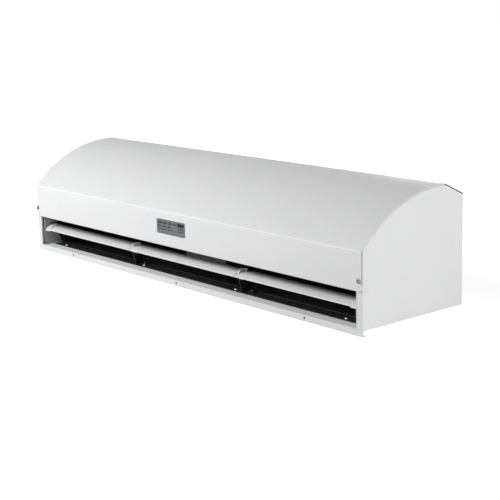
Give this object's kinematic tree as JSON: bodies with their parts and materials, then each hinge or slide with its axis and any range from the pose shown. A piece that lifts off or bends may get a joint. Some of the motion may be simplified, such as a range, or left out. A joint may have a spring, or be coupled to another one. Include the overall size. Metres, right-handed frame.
{
  "type": "air curtain",
  "caption": "Long wall-mounted air curtain with an arched cover, cross-flow fan wheels and a tilting louvre across its outlet slot.",
  "frame": {"origin": "centre of the bounding box's bottom, in the wall plane behind the mounting plate", "axes": "+X along the length, -Y out of the outlet slot, +Z away from the wall"},
  "size_m": [0.9, 0.2322, 0.21],
  "materials": {
    "white_coat": "smooth white powder coat, satin",
    "zinc_sheet": "galvanised sheet steel",
    "side_grey": "grey coated sheet steel, matt",
    "black_coat": "black coated sheet steel, matt",
    "guard_black": "black moulded plastic grille",
    "filter_black": "plastic frame with fine net",
    "blade_white": "white extruded plastic",
    "cap_cream": "cream moulded plastic",
    "bush_white": "plain bearing plastic",
    "wheel_metal": "rolled aluminium blades and discs",
    "motor_steel": "dark enamel",
    "lamination": "stacked laminations",
    "rotor_steel": "turned steel",
    "shaft_steel": "ground steel",
    "bronze": "sintered bronze",
    "rubber_black": "moulded rubber",
    "lens_grey": "printed slate grey film on a clear lens",
    "board_green": "printed circuit board",
    "transformer_yellow": "taped winding on a steel core",
    "relay_blue": "moulded relay case",
    "capacitor_white": "moulded case",
    "terminal_ivory": "moulded terminal strip",
    "clamp_black": "moulded nylon",
    "screw_dark": "dark nickel plate",
    "screw_bright": "bright zinc plate"
  },
  "bodies": {
    "casing": {"base_pan": "white_coat", "top_cover": "white_coat", "left_end_panel": "white_coat", "right_end_panel": "white_coat", "left_side_plate": "side_grey", "right_side_plate": "side_grey", "mounting_plate": "zinc_sheet", "motor_bracket": "zinc_sheet", "motor_straps": "zinc_sheet", "control_tray": "zinc_sheet", "scroll": "black_coat", "nozzle_plate": "black_coat", "left_scroll_end": "black_coat", "right_scroll_end": "black_coat", "motor_shroud": "black_coat", "louvre_stays": "black_coat", "intake_guard": "guard_black", "intake_filter": "filter_black", "louvre_bushes": "bush_white", "motor_case": "motor_steel", "motor_stator": "lamination", "shaft_bearings": "bronze", "motor_rings": "rubber_black", "bearing_rubbers": "rubber_black", "cable_grommet": "rubber_black", "display_lens": "lens_grey", "display_board": "board_green", "control_board": "board_green", "transformer": "transformer_yellow", "relays": "relay_blue", "capacitor": "capacitor_white", "terminal_block": "terminal_ivory", "cable_clamp": "clamp_black", "cover_screws": "screw_dark", "stay_screws": "screw_dark", "scroll_screws": "screw_bright", "plate_bolts": "screw_bright", "bracket_screws": "screw_bright", "strap_screws": "screw_bright", "side_plate_screws": "screw_bright"},
    "fan_rotor": {"motor_rotor": "rotor_steel", "motor_shaft": "shaft_steel", "left_fan_wheel": "wheel_metal", "right_fan_wheel": "wheel_metal", "fan_axles": "shaft_steel", "hub_screws": "screw_dark"},
    "louvre": {"left_louvre": "blade_white", "centre_louvre": "blade_white", "right_louvre": "blade_white", "left_louvre_cap": "cap_cream", "right_louvre_cap": "cap_cream", "louvre_joints": "cap_cream", "louvre_pins": "shaft_steel"}
  },
  "joints": [
    {"name": "fan_spin", "type": "hinge", "parent": "casing", "child": "fan_rotor", "pos_m": [0, 0.0241, 0.102], "axis": [1, 0, 0], "continuous": true},
    {"name": "louvre_tilt", "type": "hinge", "parent": "casing", "child": "louvre", "pos_m": [0, -0.0879, 0.042], "axis": [1, 0, 0], "range_deg": [-40, 40]}
  ]
}
